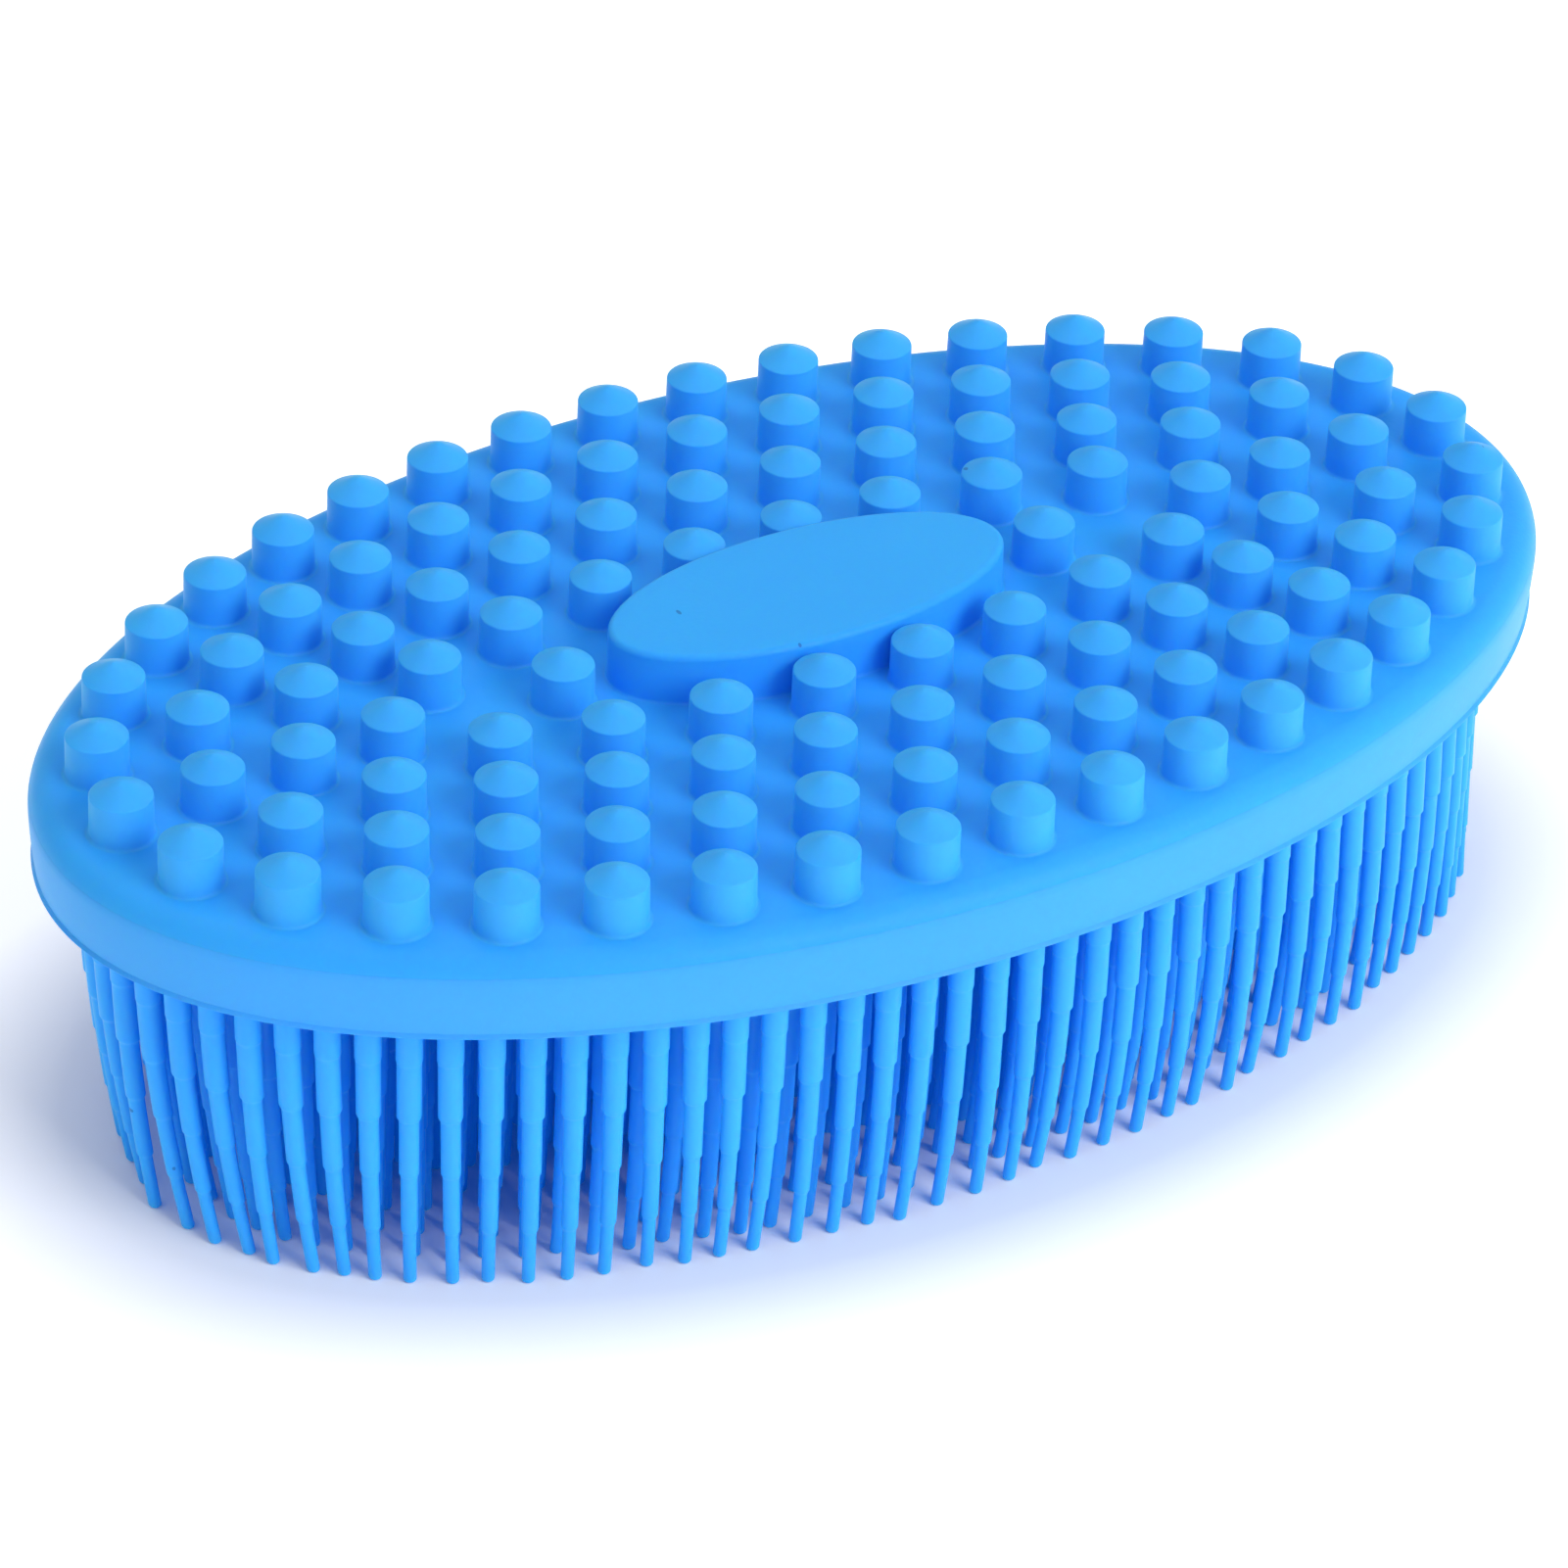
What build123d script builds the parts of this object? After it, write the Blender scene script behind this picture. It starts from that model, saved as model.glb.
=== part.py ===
from build123d import *

import math
import os

# Oval two-faced silicone curry brush: nubs on the upper face, stepped bristles below.
# Millimetres. Z = 0 is the plane of the bristle tips, +Z up through the pad, +X along the oval.

# Pad: one oval slab, split at its upper mould line
pad_length = 125.0
pad_width = 71.2
pad_thickness = 6.7
mould_line_drop = 1.4      # the upper mould line, on the shoulder, below the nub face
shoulder_radius = 2.1      # rounding between the nub face and the band
lip_radius = 0.3           # rounding at the lower edge of the band
band_wall = 3.0            # width of the band, inwards from its outer face

# Nubs: short posts with a shallow conical top, on four concentric ovals
nub_diameter = 4.8
nub_height = 3.4           # up to the edge of the cone
nub_cone_height = 1.3
nub_ring_counts = [36, 30, 24, 18]
nub_ring_half_length = 57.2    # of the outermost ring, on the nub centres
nub_ring_half_width = 30.75
nub_ring_step_x = 7.35
nub_ring_step_y = 7.0
end_nub_x = 20.95          # the pair on the long axis, beside the medallion

# Medallion: a blank flat-topped oval boss
medallion_length = 33.4
medallion_width = 14.8
medallion_height = 4.2
medallion_edge_radius = 0.5

# Bristles: five stepped sections each, thickest at the root
bristle_diameters = [2.0, 1.85, 1.5, 1.25, 1.0]
bristle_section = 5.0      # length of each section but the last
bristle_tip_section = 4.5
bristle_step_height = 0.35  # height of the cone at each step
bristle_tip_radius = 0.25
bristle_ring_half_length = 58.2
bristle_ring_half_width = 30.75
bristle_ring_step_x = 3.3
bristle_ring_step_y = 2.7
bristle_ring_counts = [96, 96, 84, 84, 72, 72, 60, 60, 48, 42, 30]
centre_row_half_length = 15.0
centre_row_count = 11

# Levels worked out from the sizes above
bristle_length = (len(bristle_diameters) - 1) * bristle_section + bristle_tip_section
lip_z = bristle_length
nub_face_z = lip_z + pad_thickness
mould_line_z = nub_face_z - mould_line_drop


def evenly_round_oval(half_length, half_width, count, start=0.0):
    """Points at equal distances along an oval, from start spacings past its -X end."""
    fine_steps = 7200
    angles = [math.pi + 2 * math.pi * i / fine_steps for i in range(fine_steps + 1)]
    points = [(half_length * math.cos(a), half_width * math.sin(a)) for a in angles]
    travelled = [0.0]
    for here, there in zip(points, points[1:]):
        travelled.append(travelled[-1] + math.dist(here, there))
    places = []
    i = 0
    for k in range(count):
        while travelled[i] < travelled[-1] * (k + start) / count:
            i += 1
        places.append(points[i])
    return places


def oval_slab(length, width, bottom_z, top_z):
    """An upright slab with an oval outline."""
    outline = Ellipse(length / 2, width / 2)
    return extrude(Pos(0, 0, bottom_z) * outline, top_z - bottom_z)


def whole_pad():
    """The pad in one piece, with its rounded shoulder and lip."""
    slab = oval_slab(pad_length, pad_width, lip_z, nub_face_z)
    slab = fillet(slab.edges().sort_by(Axis.Z)[-1], shoulder_radius)
    return fillet(slab.edges().sort_by(Axis.Z)[0], lip_radius)


def nub_plate():
    """Upper part of the pad, from the nub face down to the mould line."""
    return split(whole_pad(), Plane.XY.offset(mould_line_z), keep=Keep.TOP)


def rim_band():
    """Plain oval band round the pad, from the lip up to the mould line."""
    lower_part = split(whole_pad(), Plane.XY.offset(mould_line_z), keep=Keep.BOTTOM)
    return lower_part - bristle_plate()


def bristle_plate():
    """Slab inside the band that the bristles grow down from."""
    return oval_slab(
        pad_length - 2 * band_wall, pad_width - 2 * band_wall, lip_z, mould_line_z
    )


def centre_medallion():
    """Blank raised oval in the middle of the nub face."""
    boss = oval_slab(
        medallion_length, medallion_width, nub_face_z, nub_face_z + medallion_height
    )
    upper_edge = boss.edges().sort_by(Axis.Z)[-1]
    return fillet(upper_edge, medallion_edge_radius)


def turned(outline):
    """A solid of revolution about Z from (radius, height) points on its right side."""
    face = make_face(Polyline([(r, 0, z) for r, z in outline], close=True))
    return revolve(face, Axis.Z)


def nub():
    """One massage nub, standing on Z = 0."""
    r = nub_diameter / 2
    return turned([(0, 0), (r, 0), (r, nub_height), (0, nub_height + nub_cone_height)])


def bristle():
    """One stepped bristle, from its tip at Z = 0 up to its root."""
    radii = [d / 2 for d in reversed(bristle_diameters)]
    outline = [(0, 0), (radii[0] - bristle_tip_radius, 0), (radii[0], bristle_tip_radius)]
    step_z = bristle_tip_section
    for thin, thick in zip(radii, radii[1:]):
        outline.append((thin, step_z - bristle_step_height))
        outline.append((thick, step_z))
        step_z += bristle_section
    outline.append((radii[-1], bristle_length))
    outline.append((0, bristle_length))
    return turned(outline)


def planted(piece, places, z):
    """Copies of one piece as a group of separate solids, one at each place."""
    return Compound(children=[Pos(x, y, z) * piece for x, y in places])


def nub_rings():
    """Four concentric rings of nubs, outermost first."""
    rings = {}
    for k, count in enumerate(nub_ring_counts):
        places = evenly_round_oval(
            nub_ring_half_length - k * nub_ring_step_x,
            nub_ring_half_width - k * nub_ring_step_y,
            count,
        )
        rings[f"nub_ring_{k + 1}"] = planted(nub(), places, nub_face_z)
    return rings


def bristle_rings():
    """Concentric rings of bristles, outermost first, each staggered against the next."""
    rings = {}
    for k, count in enumerate(bristle_ring_counts):
        places = evenly_round_oval(
            bristle_ring_half_length - k * bristle_ring_step_x,
            bristle_ring_half_width - k * bristle_ring_step_y,
            count,
            start=0.5 * ((k + 1) % 2),
        )
        rings[f"bristle_ring_{k + 1:02d}"] = planted(bristle(), places, 0)
    return rings


def bristle_centre_row():
    """Straight row of bristles on the long axis, inside the innermost ring."""
    pitch = 2 * centre_row_half_length / (centre_row_count - 1)
    places = [(i * pitch - centre_row_half_length, 0) for i in range(centre_row_count)]
    return planted(bristle(), places, 0)


parts = {
    "nub_plate": nub_plate(),
    "rim_band": rim_band(),
    "bristle_plate": bristle_plate(),
    "centre_medallion": centre_medallion(),
    "end_nubs": planted(nub(), [(-end_nub_x, 0), (end_nub_x, 0)], nub_face_z),
    "bristle_centre_row": bristle_centre_row(),
}
parts.update(nub_rings())
parts.update(bristle_rings())

os.makedirs("parts", exist_ok=True)
for name, shape in parts.items():
    export_step(shape, f"parts/{name}.step")
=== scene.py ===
import math
import random

import bmesh
import bpy
from mathutils import Matrix, Vector


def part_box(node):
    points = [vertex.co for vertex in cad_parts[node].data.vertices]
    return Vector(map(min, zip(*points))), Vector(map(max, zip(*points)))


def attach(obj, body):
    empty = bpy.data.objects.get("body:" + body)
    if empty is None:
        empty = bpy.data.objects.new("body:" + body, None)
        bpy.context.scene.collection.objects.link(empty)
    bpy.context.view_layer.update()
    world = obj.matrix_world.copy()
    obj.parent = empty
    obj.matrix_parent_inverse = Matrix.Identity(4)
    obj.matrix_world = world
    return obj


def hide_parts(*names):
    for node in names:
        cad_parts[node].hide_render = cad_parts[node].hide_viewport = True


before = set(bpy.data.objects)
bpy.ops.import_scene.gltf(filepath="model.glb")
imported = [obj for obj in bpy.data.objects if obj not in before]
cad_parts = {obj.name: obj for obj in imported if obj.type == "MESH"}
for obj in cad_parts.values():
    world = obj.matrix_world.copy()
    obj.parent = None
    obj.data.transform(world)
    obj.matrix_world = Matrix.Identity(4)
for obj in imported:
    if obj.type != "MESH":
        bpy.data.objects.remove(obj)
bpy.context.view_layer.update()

MM = 0.001

# Camera, aimed near the middle of the nub face from in front and to the left
CAMERA_AZIMUTH = -31.475
CAMERA_ELEVATION = 34.685
CAMERA_ROLL = 2.115
CAMERA_DISTANCE = 561.63 * MM
CAMERA_RIGHT = -1.77 * MM
CAMERA_UP = -14.48 * MM
CAMERA_LENS = 171.73
CAMERA_SENSOR = 36.0

# Silicone, all one moulding: its blue is set a little greener on the nubs and bristles and a little
# redder on the band. This is painted light that makes these parts lighter than the nub face.
FACE_BLUE = (0.036, 0.400, 0.965)
BAND_BLUE = (0.058, 0.400, 0.955)
NUB_BLUE = (0.050, 0.430, 0.960)
BRISTLE_BLUE = (0.048, 0.415, 0.965)
SILICONE_IOR = 1.41
SILICONE_SPECULAR = 0.18
SCATTER_SHARE = 0.9
SCATTER_REACH = (0.12, 0.5, 1.0)   # of red, green and blue light, as shares of the depth
# colour of the painted glow given to the bristles, which brightens their shaded sides and the gaps
# between them
INNER_LIGHT = (0.0, 0.32, 1.0)
DEEPER = 0.93                      # the darker blue of the mottling, as a share of the blue
MOTTLE_DETAIL = 4.0
SATIN_BELOW = 0.06                 # how far the roughness varies, down and up
SATIN_ABOVE = 0.08
SATIN_FINER = 6                    # times the scale of the mottling
SATIN_DETAIL = 3.0
GRAIN_DETAIL = 6.0
GRAIN_STRENGTH = 0.25

# Lint: one possible speck in each cell of about 4 mm
SPECK_COLOUR = (0.012, 0.12, 0.42)
SPECK_CELLS = 230.0                # per metre
SPECK_STRETCH = (1.0, 0.45, 0.8)
SPECK_RADIUS = 0.034               # as a share of a cell
SPECK_RARITY = 0.45                # the share of cells left clean
SPECK_STRENGTH = 0.7

# Pad profile
OVAL_STEPS = 360
SHOULDER = 2.1 * MM
SHOULDER_STEPS = 14                # round the shoulder, above the mould line
LOWER_SHOULDER_STEPS = 6           # and below it
BAND_STEPS = 8
BAND_TAPER = 1.6                   # power of the band's narrowing towards its lip
LIP_INSET = 0.3 * MM
LIP_RADIUS = 0.25 * MM
FLASH = 0.2 * MM                   # how far the thin moulding line at the lip stands out
FLASH_LOW = 0.04 * MM              # its heights above the lip
FLASH_HIGH = 0.10 * MM
FLASH_END = 0.36 * MM
MOULD_GROOVE = 0.015 * MM
FACE_MARGIN = 6.3 * MM             # from the pad's outline to the flat faces inside it

# Medallion
MEDALLION_STEPS = 180
MEDALLION_EDGE = 0.5 * MM
MEDALLION_EDGE_STEPS = 8
MEDALLION_MARGIN = 2.2 * MM        # from its outline to its flat top's own face

# Foot of each nub and of the medallion
FOOT_FLARE = 0.27 * MM
FOOT_STEPS = 7
SINK = 0.12 * MM                   # how far a piece goes into the one that it grows from

# Nub profile
NUB_SIDES = 56
NUB_DRAFT = 0.04 * MM
NUB_EDGE_RADIUS = 0.16 * MM
NUB_EDGE_TURN = 65                 # degrees of rounding before the cone starts
NUB_EDGE_STEPS = 4
NUB_CONE = 1.3 * MM
NUB_CONE_ROWS = (0.06, 0.2, 0.4, 0.6, 0.75, 0.86, 0.94, 0.985)   # shares of the way up
APEX_DROP = 0.004 * MM
APEX_SOFTENING = 0.16 * MM         # how much the point of the cone is rounded down
APEX_SOFT_SHARE = 0.14             # over this share of the cone

# Bristle profile, thickest section first
BRISTLE_SIDES = 16
BRISTLE_DIAMETERS = [2.0 * MM, 1.85 * MM, 1.5 * MM, 1.25 * MM, 1.0 * MM]
BRISTLE_SECTION = 5.0 * MM
BRISTLE_STEP = 0.3 * MM
BRISTLE_EDGE = 0.07 * MM
ROW_BELOW_STEP = 1.4 * MM          # rows that let a bristle bend between its steps
ROW_ABOVE_STEP = 1.2 * MM
BRISTLE_TIP_RADIUS = 0.26 * MM
BRISTLE_ROOT_FLARE = 0.3 * MM

# How the standing bristles are bent: outwards to the front, and sidewards along it
BEND_OUT = Vector((-0.52, -0.85, 0))
BEND_SIDE = Vector((0.85, -0.52, 0))
OUT_MIDDLE = 1.07 * MM             # at the tip, half way along the brush
OUT_CHANGE = 0.2 * MM              # more per half length towards +X
SIDE_MIDDLE = -0.90 * MM           # at the tip, half way along the brush
SIDE_CHANGE_LEFT = 2.2 * MM        # more per square half length towards -X
SIDE_CHANGE_RIGHT = 1.6 * MM       # and towards +X
BOW_MIDDLE = 0.1 * MM              # sideways at half height
BOW_CHANGE = 0.6 * MM              # more per half length towards +X
BEND_SPREAD = 0.2 * MM

# Where the two ends take over, as shares of the half length, and their own bend at the tip
LEFT_FROM = 0.72
LEFT_FULL = 0.93
LEFT_SIDE = 2.75 * MM
LEFT_OUT = 0.7 * MM
RIGHT_FROM = 0.70
RIGHT_FULL = 0.90
RIGHT_SIDE = 0.45 * MM
RIGHT_OUT_FROM = 0.50
RIGHT_OUT_FULL = 0.95
RIGHT_OUT = 1.2 * MM

# Edges that turn more sharply than this, in degrees, are shaded as edges
PAD_SHARP = 35
NUB_SHARP = 40
BRISTLE_SHARP = 50

# Rings in the CAD model
NUB_RINGS = 4
BRISTLE_RINGS = 11

# White table: its painted glow, and where that starts and is full, as multiples of the pad's oval
TABLE_RADIUS = 3.0
TABLE_DROP = 0.02 * MM
TABLE_WHITE = (0.95, 0.95, 0.95, 1)
TABLE_ROUGHNESS = 0.6
TABLE_GLOW = 0.38
GLOW_FROM = 0.97
GLOW_TO = 1.22

# Studio light
WORLD_LIGHT = 0.56
KEY_PLACE = (0.45, -1.12, 0.83)
KEY_SIZE = 0.9
KEY_POWER = 13
TOP_PLACE = (0.1, 0.3, 1.4)
TOP_SIZE = 1.2
TOP_POWER = 4
LIGHT_AIM = Vector((0, 0, 0.03))


# ---------- places in the frame ----------

def island_middles(node):
    """The middle of each separate solid of a CAD node, in order round the oval."""
    bm = bmesh.new()
    bm.from_mesh(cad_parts[node].data)
    bmesh.ops.remove_doubles(bm, verts=bm.verts, dist=1e-6)
    seen = set()
    middles = []
    for start in bm.verts:
        if start in seen:
            continue
        seen.add(start)
        stack = [start]
        low = Vector(start.co)
        high = Vector(start.co)
        while stack:
            vert = stack.pop()
            low = Vector(map(min, low, vert.co))
            high = Vector(map(max, high, vert.co))
            for edge in vert.link_edges:
                other = edge.other_vert(vert)
                if other not in seen:
                    seen.add(other)
                    stack.append(other)
        middles.append((low + high) / 2)
    bm.free()
    return sorted(middles, key=lambda p: (round(math.atan2(p.y, p.x), 3), round(p.x, 5)))


plate_low, plate_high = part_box("nub_plate")
band_low, band_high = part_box("rim_band")
inner_low, inner_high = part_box("bristle_plate")
medal_low, medal_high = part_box("centre_medallion")
nub_low, nub_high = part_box("end_nubs")
HALF_LENGTH = min(band_high.x, -band_low.x)
HALF_WIDTH = min(band_high.y, -band_low.y)
BAND_WALL = HALF_LENGTH - inner_high.x
FACE_Z = plate_high.z
MOULD_Z = plate_low.z
LIP_Z = band_low.z
NUB_RADIUS = (nub_high.y - nub_low.y) / 2
NUB_RIM_Z = nub_high.z - NUB_CONE


# ---------- mesh helpers ----------

def mesh_piece(name, bm, node, material, sharp_angle):
    """A finished piece from a bmesh: it rides on the body, and replaces its CAD node."""
    mesh = bpy.data.meshes.new(name)
    bmesh.ops.recalc_face_normals(bm, faces=bm.faces)
    bm.to_mesh(mesh)
    bm.free()
    mesh.materials.append(material)
    mesh.polygons.foreach_set("use_smooth", [True] * len(mesh.polygons))
    mesh.set_sharp_from_angle(angle=math.radians(sharp_angle))
    piece = bpy.data.objects.new(name, mesh)
    bpy.context.scene.collection.objects.link(piece)
    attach(piece, "root")
    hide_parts(node)
    return piece


def join_rows(bm, rows, capped=True):
    """Quads between equal closed rows of points, with a face on each end if capped."""
    verts = [[bm.verts.new(p) for p in row] for row in rows]
    for lower, upper in zip(verts, verts[1:]):
        n = len(lower)
        for i in range(n):
            j = (i + 1) % n
            bm.faces.new((lower[i], lower[j], upper[j], upper[i]))
    if capped:
        bm.faces.new(list(reversed(verts[0])))
        bm.faces.new(verts[-1])


def turned(bm, outline, place, sides, shift=None):
    """A turned solid about an upright axis at place. shift(z) moves each row sideways."""
    rows = []
    for radius, z in outline:
        off = shift(z) if shift else Vector((0, 0, 0))
        row = []
        for i in range(sides):
            a = 2 * math.pi * i / sides
            row.append((place.x + off.x + radius * math.cos(a),
                        place.y + off.y + radius * math.sin(a), z))
        rows.append(row)
    join_rows(bm, rows)


def arc(centre_r, centre_z, radius, start, end, steps):
    """Points of (radius, height) along a round corner, from start to end in degrees."""
    points = []
    for i in range(steps + 1):
        a = math.radians(start + (end - start) * i / steps)
        points.append((centre_r + radius * math.cos(a), centre_z + radius * math.sin(a)))
    return points


def oval_row(inset, z, half_x=HALF_LENGTH, half_y=HALF_WIDTH, steps=OVAL_STEPS):
    """One row of points round an oval, moved inwards by inset along its normal."""
    row = []
    for i in range(steps):
        a = 2 * math.pi * i / steps
        normal = Vector((math.cos(a) / half_x, math.sin(a) / half_y)).normalized()
        row.append((half_x * math.cos(a) - inset * normal.x,
                    half_y * math.sin(a) - inset * normal.y, z))
    return row


# ---------- silicone ----------

def new_node(tree, kind, **values):
    """A shader node with its plain settings and socket values."""
    node = tree.nodes.new(kind)
    for key, value in values.items():
        if key in node.inputs:
            node.inputs[key].default_value = value
        else:
            setattr(node, key, value)
    return node


def rescaled(tree, value, low, high, to_low, to_high):
    """A value carried from one range into another."""
    node = tree.nodes.new("ShaderNodeMapRange")
    node.inputs["From Min"].default_value = low
    node.inputs["From Max"].default_value = high
    node.inputs["To Min"].default_value = to_low
    node.inputs["To Max"].default_value = to_high
    tree.links.new(value, node.inputs["Value"])
    return node.outputs["Result"]


def compared(tree, value, operation, limit):
    """A value compared with, or multiplied by, a fixed number."""
    node = tree.nodes.new("ShaderNodeMath")
    node.operation = operation
    node.inputs[1].default_value = limit
    tree.links.new(value, node.inputs[0])
    return node.outputs["Value"]


def noise(tree, place, scale, detail):
    """Smooth noise at this place on the object."""
    node = new_node(tree, "ShaderNodeTexNoise", Scale=scale, Detail=detail)
    tree.links.new(place, node.inputs["Vector"])
    return node.outputs["Fac"]


def mottled(tree, place, blue, scale):
    """Slow mottling between a blue and a slightly deeper one."""
    share = rescaled(tree, noise(tree, place, scale, MOTTLE_DETAIL), 0.3, 0.7, 0.0, 1.0)
    blues = new_node(tree, "ShaderNodeMix", data_type="RGBA")
    blues.inputs[6].default_value = (blue[0] * DEEPER, blue[1] * DEEPER, blue[2], 1)
    blues.inputs[7].default_value = (*blue, 1)
    tree.links.new(share, blues.inputs[0])
    return blues.outputs[2]


def linted(tree, place, colour):
    """The colour with rare short dark specks of lint on it."""
    stretch = new_node(tree, "ShaderNodeMapping", Scale=SPECK_STRETCH)
    tree.links.new(place, stretch.inputs["Vector"])
    cells = new_node(tree, "ShaderNodeTexVoronoi", Scale=SPECK_CELLS, Randomness=1.0)
    tree.links.new(stretch.outputs["Vector"], cells.inputs["Vector"])
    near = compared(tree, cells.outputs["Distance"], "LESS_THAN", SPECK_RADIUS)
    parts = tree.nodes.new("ShaderNodeSeparateColor")
    tree.links.new(cells.outputs["Color"], parts.inputs["Color"])
    chosen = compared(tree, parts.outputs["Red"], "GREATER_THAN", SPECK_RARITY)
    speck = new_node(tree, "ShaderNodeMath", operation="MULTIPLY")
    tree.links.new(near, speck.inputs[0])
    tree.links.new(chosen, speck.inputs[1])
    share = compared(tree, speck.outputs["Value"], "MULTIPLY", SPECK_STRENGTH)
    dusted = new_node(tree, "ShaderNodeMix", data_type="RGBA")
    dusted.inputs[7].default_value = (*SPECK_COLOUR, 1)
    tree.links.new(colour, dusted.inputs[6])
    tree.links.new(share, dusted.inputs[0])
    return dusted.outputs[2]


def silicone(name, blue, roughness, depth, mottle_scale, grain_scale, grain_depth, glow=0.0):
    """Satin silicone rubber: faint mottling, fine moulded grain, and small specks of lint.

    depth is how far light wanders in it. glow stands for light that has wandered through
    many bristles, and so reaches every side of each one.
    """
    material = bpy.data.materials.new(name)
    material.use_nodes = True
    tree = material.node_tree
    shader = tree.nodes["Principled BSDF"]
    shader.inputs["IOR"].default_value = SILICONE_IOR
    shader.inputs["Specular IOR Level"].default_value = SILICONE_SPECULAR
    shader.inputs["Subsurface Weight"].default_value = SCATTER_SHARE
    shader.inputs["Subsurface Radius"].default_value = SCATTER_REACH
    shader.inputs["Subsurface Scale"].default_value = depth
    shader.inputs["Emission Color"].default_value = (*INNER_LIGHT, 1)
    shader.inputs["Emission Strength"].default_value = glow
    place = tree.nodes.new("ShaderNodeTexCoord").outputs["Object"]
    colour = linted(tree, place, mottled(tree, place, blue, mottle_scale))
    tree.links.new(colour, shader.inputs["Base Color"])
    uneven = noise(tree, place, mottle_scale * SATIN_FINER, SATIN_DETAIL)
    satin = rescaled(tree, uneven, 0.0, 1.0, roughness - SATIN_BELOW, roughness + SATIN_ABOVE)
    tree.links.new(satin, shader.inputs["Roughness"])
    bump = new_node(tree, "ShaderNodeBump", Strength=GRAIN_STRENGTH, Distance=grain_depth)
    tree.links.new(noise(tree, place, grain_scale, GRAIN_DETAIL), bump.inputs["Height"])
    tree.links.new(bump.outputs["Normal"], shader.inputs["Normal"])
    return material


# ---------- pad ----------

def shoulder(start, end, steps):
    """Points of (inset, height) round the shoulder, between two angles in degrees."""
    corner = arc(-SHOULDER, FACE_Z - SHOULDER, SHOULDER, start, end, steps)
    return [(-r, z) for r, z in corner]


def mould_line_angle():
    """Where the mould line lies round the shoulder, in degrees above its lower end."""
    return math.degrees(math.asin(1 - (FACE_Z - MOULD_Z) / SHOULDER))


def build_pad_top(material):
    """The nub face and its soft shoulder, down to the mould line."""
    profile = shoulder(mould_line_angle(), 90, SHOULDER_STEPS)
    edge_inset = profile[0][0]
    rows = [
        oval_row(FACE_MARGIN, MOULD_Z),
        oval_row(edge_inset + 2 * MOULD_GROOVE, MOULD_Z),
        oval_row(edge_inset + MOULD_GROOVE, MOULD_Z + 0.5 * MOULD_GROOVE),
    ]
    rows += [oval_row(inset, z) for inset, z in profile[1:]]
    rows.append(oval_row(FACE_MARGIN, FACE_Z))
    bm = bmesh.new()
    join_rows(bm, rows)
    mesh_piece("pad_top", bm, "nub_plate", material, PAD_SHARP)


def build_pad_band(material):
    """The plain band, a little narrower at its lip, with a thin moulding line along it."""
    profile = [
        (BAND_WALL, LIP_Z),
        (LIP_INSET + LIP_RADIUS, LIP_Z),
        (LIP_INSET - FLASH, LIP_Z + FLASH_LOW),
        (LIP_INSET - FLASH, LIP_Z + FLASH_HIGH),
        (LIP_INSET, LIP_Z + FLASH_END),
    ]
    band_start = LIP_Z + FLASH_END
    band_end = FACE_Z - SHOULDER
    for i in range(1, BAND_STEPS + 1):
        t = i / BAND_STEPS
        profile.append((LIP_INSET * (1 - t) ** BAND_TAPER, band_start + (band_end - band_start) * t))
    lower_shoulder = shoulder(0, mould_line_angle(), LOWER_SHOULDER_STEPS)
    edge_inset = lower_shoulder[-1][0]
    profile += lower_shoulder[1:-1]
    profile += [
        (edge_inset + 0.2 * MOULD_GROOVE, MOULD_Z - MOULD_GROOVE),
        (edge_inset + MOULD_GROOVE, MOULD_Z - 0.2 * MOULD_GROOVE),
        (edge_inset + 2 * MOULD_GROOVE, MOULD_Z),
        (BAND_WALL, MOULD_Z),
    ]
    rows = [oval_row(inset, z) for inset, z in profile]
    rows.append(rows[0])
    bm = bmesh.new()
    join_rows(bm, rows, capped=False)
    bmesh.ops.remove_doubles(bm, verts=bm.verts, dist=1e-8)
    mesh_piece("pad_band", bm, "rim_band", material, PAD_SHARP)


def build_pad_underside(material):
    """The flat face that the bristles grow from."""
    bm = bmesh.new()
    join_rows(bm, [oval_row(BAND_WALL, inner_low.z), oval_row(BAND_WALL, inner_high.z)])
    mesh_piece("pad_underside", bm, "bristle_plate", material, PAD_SHARP)


def foot(side):
    """Points of (distance, height) of the small flare at the foot of an upright side."""
    points = [(side + FOOT_FLARE, FACE_Z - SINK)]
    points += arc(side + FOOT_FLARE, FACE_Z + FOOT_FLARE, FOOT_FLARE, 270, 180, FOOT_STEPS)
    return points


def build_medallion(material):
    """The blank oval in the middle: flat top, rounded edge, small flare at its foot."""
    top = medal_high.z
    e = MEDALLION_EDGE
    profile = foot(0) + arc(-e, top - e, e, 0, 90, MEDALLION_EDGE_STEPS)
    profile.append((-MEDALLION_MARGIN, top))
    rows = [oval_row(-r, z, medal_high.x, medal_high.y, MEDALLION_STEPS) for r, z in profile]
    bm = bmesh.new()
    join_rows(bm, rows)
    mesh_piece("medallion", bm, "centre_medallion", material, PAD_SHARP)


# ---------- nubs ----------

def nub_outline():
    """Radius and height of a nub from its flare to its apex."""
    e = NUB_EDGE_RADIUS
    outline = foot(NUB_RADIUS)
    outline += arc(NUB_RADIUS - NUB_DRAFT - e, NUB_RIM_Z - e, e, 0, NUB_EDGE_TURN, NUB_EDGE_STEPS)
    rim_r, rim_z = outline[-1]
    apex = NUB_RIM_Z + NUB_CONE - APEX_DROP
    for t in NUB_CONE_ROWS:
        straight = rim_z + (apex - rim_z) * t
        softening = APEX_SOFTENING * math.exp(-(((1 - t) / APEX_SOFT_SHARE) ** 2))
        outline.append((rim_r * (1 - t), straight - softening))
    return outline


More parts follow.
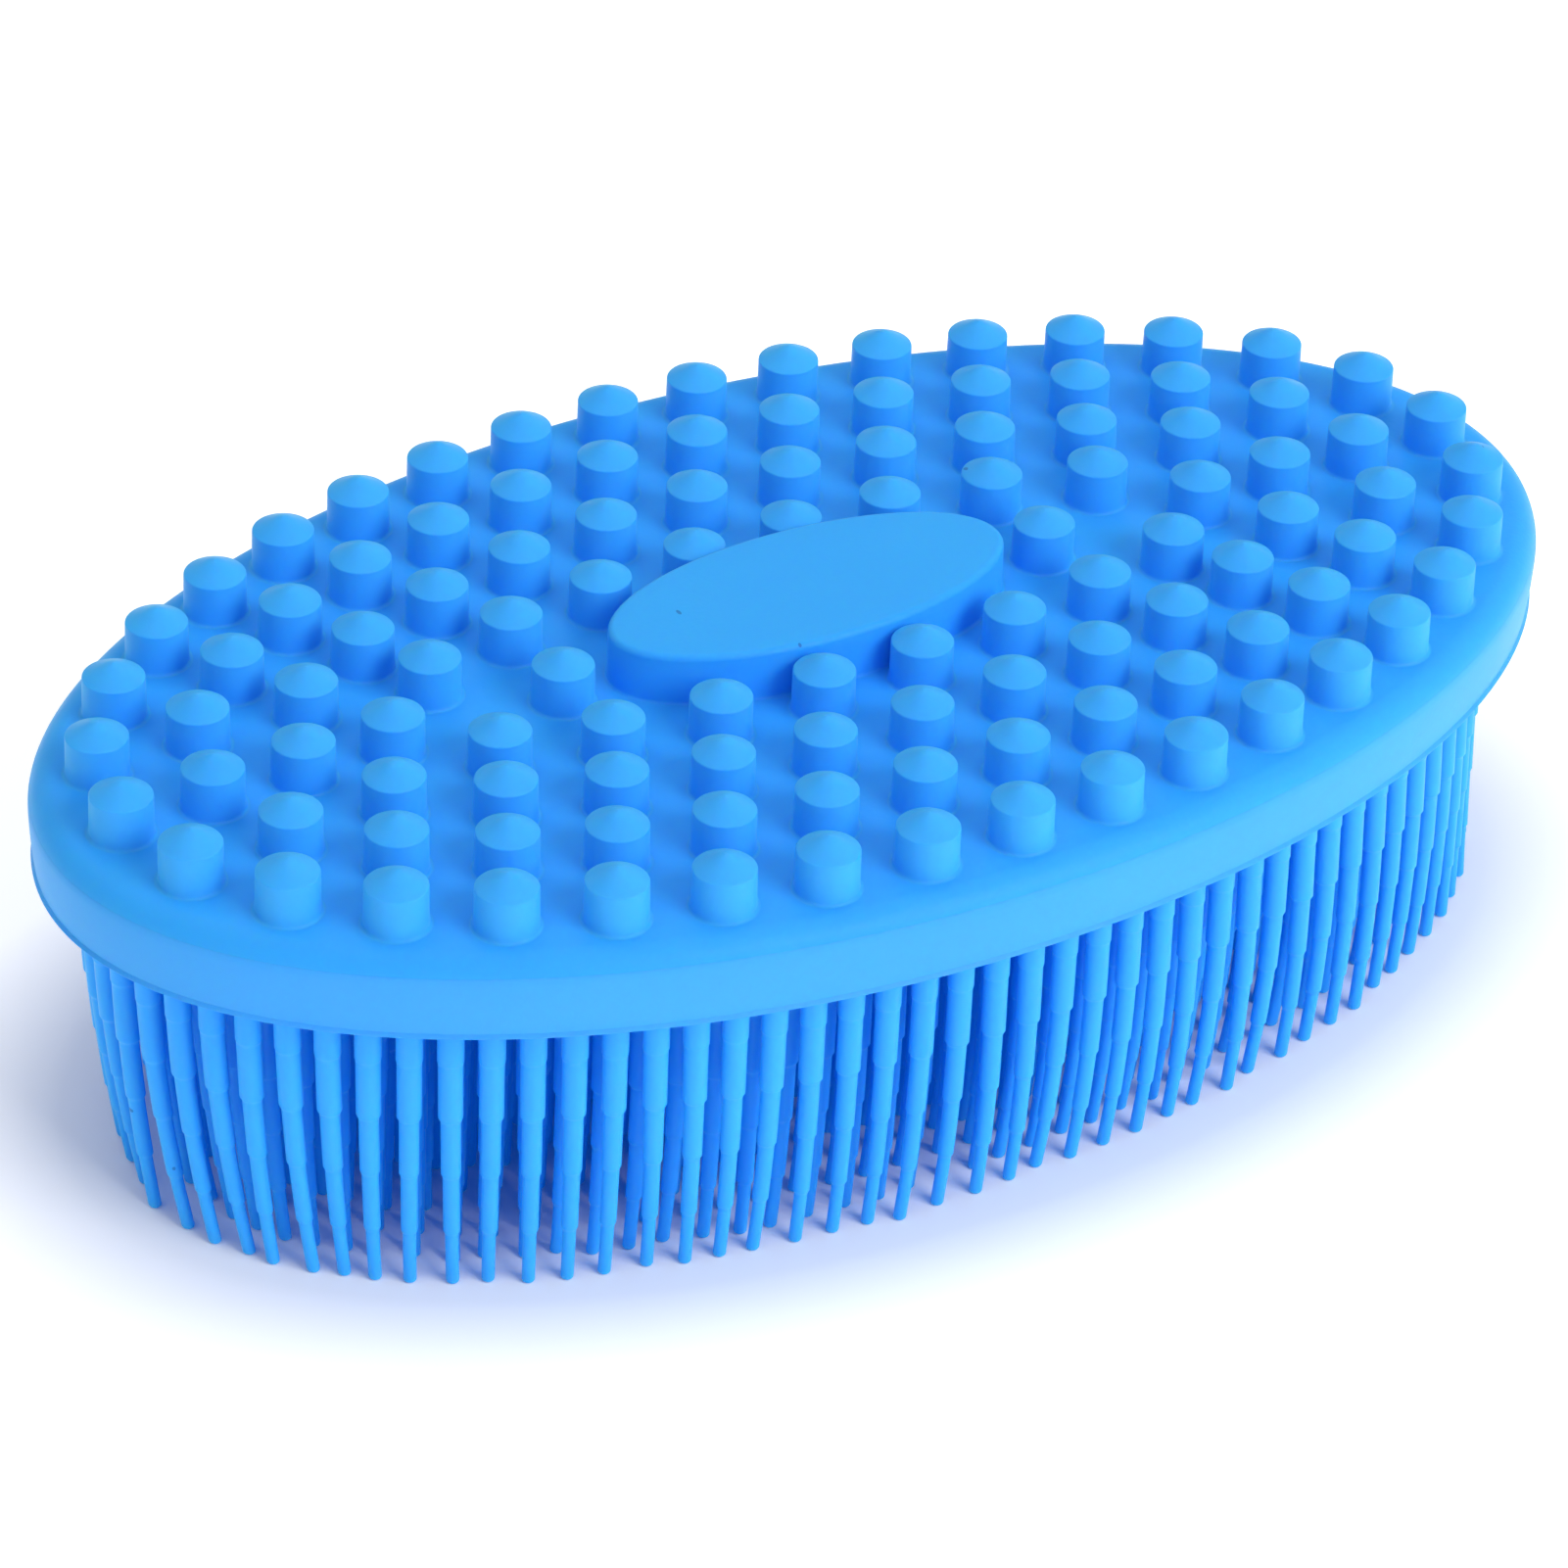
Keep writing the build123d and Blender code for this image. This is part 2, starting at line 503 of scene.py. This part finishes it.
def build_nubs(name, node, material):
    """All nubs of one CAD node as one piece."""
    outline = nub_outline()
    bm = bmesh.new()
    for place in island_middles(node):
        turned(bm, outline, place, NUB_SIDES)
    mesh_piece(name, bm, node, material, NUB_SHARP)


# ---------- bristles ----------

def bristle_outline():
    """Radius and height of a bristle from its tip up to its root."""
    radii = [d / 2 for d in reversed(BRISTLE_DIAMETERS)]
    t = BRISTLE_TIP_RADIUS
    outline = [(radii[0] - t, 0.0)]
    outline += arc(radii[0] - t, t, t, -60, 0, 3)
    step_z = LIP_Z - (len(radii) - 1) * BRISTLE_SECTION
    for thin, thick in zip(radii, radii[1:]):
        edge = min(BRISTLE_EDGE, (thick - thin) / 2)
        outline += [
            (thin, step_z - ROW_BELOW_STEP),
            (thin, step_z - BRISTLE_STEP - 2 * edge),
            (thin, step_z - BRISTLE_STEP),
            (thick - edge, step_z - edge),
            (thick, step_z + 0.5 * edge),
            (thick, step_z + 3 * edge),
            (thick, step_z + ROW_ABOVE_STEP),
        ]
        step_z += BRISTLE_SECTION
    root = radii[-1]
    f = BRISTLE_ROOT_FLARE
    outline.append((root, LIP_Z - 2 * f))
    outline += arc(root + f, LIP_Z - f, f, 180, 100, 3)
    outline.append((root + f, LIP_Z + SINK))
    return outline


def ease(value, start, full):
    """0 up to start, 1 from full on, and a smooth rise between them."""
    t = min(1.0, max(0.0, (value - start) / (full - start)))
    return t * t * (3 - 2 * t)


def bend_of(place, chance):
    """How this bristle is bent, as a function of height."""
    along = place.x / HALF_LENGTH
    left = ease(-along, LEFT_FROM, LEFT_FULL)
    right = ease(along, RIGHT_FROM, RIGHT_FULL)
    out = OUT_MIDDLE + OUT_CHANGE * along + LEFT_OUT * left
    out += RIGHT_OUT * ease(along, RIGHT_OUT_FROM, RIGHT_OUT_FULL)
    out += chance.gauss(0, BEND_SPREAD)
    side_change = SIDE_CHANGE_LEFT if along < 0 else SIDE_CHANGE_RIGHT
    tip = (SIDE_MIDDLE + side_change * along * along) * (1 - left) * (1 - right)
    bow = max(0.0, BOW_MIDDLE + BOW_CHANGE * along) * (1 - right)
    side = LEFT_SIDE * left + RIGHT_SIDE * right + chance.gauss(0, BEND_SPREAD)

    def shift(z):
        d = min(1.0, max(0.0, 1 - z / LIP_Z))
        outwards = out * (0.2 * d + 0.8 * d * d)
        sidewards = tip * d ** 3 + bow * math.sin(math.pi * d) * d ** 0.5 + side * d * d
        return BEND_OUT * outwards + BEND_SIDE * sidewards

    return shift


def build_bristles(name, node, material):
    """All bristles of one CAD node as one piece, each bent a little in its own way."""
    outline = bristle_outline()
    chance = random.Random(node)
    bm = bmesh.new()
    for place in island_middles(node):
        turned(bm, outline, place, BRISTLE_SIDES, bend_of(place, chance))
    mesh_piece(name, bm, node, material, BRISTLE_SHARP)


# ---------- stage ----------

def build_floor():
    """Plain white table top with a painted glow that starts just outside the brush's oval and washes
    out its shadow there.
    """
    bpy.ops.mesh.primitive_circle_add(
        vertices=96, radius=TABLE_RADIUS, fill_type="NGON", location=(0, 0, -TABLE_DROP)
    )
    floor = bpy.context.object
    floor.name = "floor"
    material = bpy.data.materials.new("white_table")
    material.use_nodes = True
    tree = material.node_tree
    shader = tree.nodes["Principled BSDF"]
    shader.inputs["Base Color"].default_value = TABLE_WHITE
    shader.inputs["Roughness"].default_value = TABLE_ROUGHNESS
    shader.inputs["Emission Color"].default_value = (1, 1, 1, 1)
    place = tree.nodes.new("ShaderNodeTexCoord").outputs["Object"]
    to_oval = new_node(tree, "ShaderNodeMapping", Scale=(1 / HALF_LENGTH, 1 / HALF_WIDTH, 0))
    tree.links.new(place, to_oval.inputs["Vector"])
    outwards = new_node(tree, "ShaderNodeVectorMath", operation="LENGTH")
    tree.links.new(to_oval.outputs["Vector"], outwards.inputs[0])
    # painted glow: the table is brightened outwards from the brush's oval
    glow = rescaled(tree, outwards.outputs["Value"], GLOW_FROM, GLOW_TO, 0.0, TABLE_GLOW)
    tree.links.new(glow, shader.inputs["Emission Strength"])
    floor.data.materials.append(material)


def build_light(name, place, size, power):
    """A large square soft light aimed at the middle of the brush."""
    data = bpy.data.lights.new(name, "AREA")
    data.size = size
    data.energy = power
    light = bpy.data.objects.new(name, data)
    light.location = place
    light.rotation_euler = (LIGHT_AIM - Vector(place)).to_track_quat("-Z", "Y").to_euler()
    bpy.context.scene.collection.objects.link(light)


def build_world():
    """Even white surroundings."""
    world = bpy.data.worlds.new("studio")
    world.use_nodes = True
    back = world.node_tree.nodes["Background"]
    back.inputs["Color"].default_value = (1, 1, 1, 1)
    back.inputs["Strength"].default_value = WORLD_LIGHT
    bpy.context.scene.world = world


def build_camera():
    """The camera, from its bearing, height, roll and distance."""
    azimuth = math.radians(CAMERA_AZIMUTH)
    elevation = math.radians(CAMERA_ELEVATION)
    roll = math.radians(CAMERA_ROLL)
    back = Vector((math.sin(azimuth) * math.cos(elevation),
                   -math.cos(azimuth) * math.cos(elevation), math.sin(elevation)))
    flat_right = Vector((0, 0, 1)).cross(back).normalized()
    flat_up = back.cross(flat_right)
    right = math.cos(roll) * flat_right + math.sin(roll) * flat_up
    up = math.cos(roll) * flat_up - math.sin(roll) * flat_right
    target = Vector((0, 0, NUB_RIM_Z)) + right * CAMERA_RIGHT + up * CAMERA_UP
    data = bpy.data.cameras.new("camera")
    data.lens = CAMERA_LENS
    data.sensor_width = CAMERA_SENSOR
    camera = bpy.data.objects.new("camera", data)
    turn = Matrix((right, up, back)).transposed().to_4x4()
    camera.matrix_world = Matrix.Translation(target + back * CAMERA_DISTANCE) @ turn
    bpy.context.scene.collection.objects.link(camera)
    bpy.context.scene.camera = camera


# ---------- assembly ----------

face_silicone = silicone(
    "face_silicone", FACE_BLUE, roughness=0.42, depth=0.1 * MM,
    mottle_scale=30.0, grain_scale=2600.0, grain_depth=0.06 * MM,
)
band_silicone = silicone(
    "band_silicone", BAND_BLUE, roughness=0.42, depth=0.02 * MM,
    mottle_scale=26.0, grain_scale=2400.0, grain_depth=0.06 * MM,
)
nub_silicone = silicone(
    "nub_silicone", NUB_BLUE, roughness=0.45, depth=0.15 * MM,
    mottle_scale=45.0, grain_scale=3000.0, grain_depth=0.06 * MM,
)
bristle_silicone = silicone(
    "bristle_silicone", BRISTLE_BLUE, roughness=0.40, depth=0.7 * MM,
    mottle_scale=60.0, grain_scale=3400.0, grain_depth=0.04 * MM, glow=0.06,
)

build_pad_top(face_silicone)
build_pad_band(band_silicone)
build_pad_underside(face_silicone)
build_medallion(face_silicone)
build_nubs("nubs_ends", "end_nubs", nub_silicone)
for ring in range(1, NUB_RINGS + 1):
    build_nubs(f"nubs_ring_{ring}", f"nub_ring_{ring}", nub_silicone)
for ring in range(1, BRISTLE_RINGS + 1):
    build_bristles(f"bristles_ring_{ring:02d}", f"bristle_ring_{ring:02d}", bristle_silicone)
build_bristles("bristles_centre_row", "bristle_centre_row", bristle_silicone)

build_floor()
build_world()
build_light("key", KEY_PLACE, KEY_SIZE, KEY_POWER)
build_light("top", TOP_PLACE, TOP_SIZE, TOP_POWER)
build_camera()
bpy.context.scene.view_settings.view_transform = "Standard"
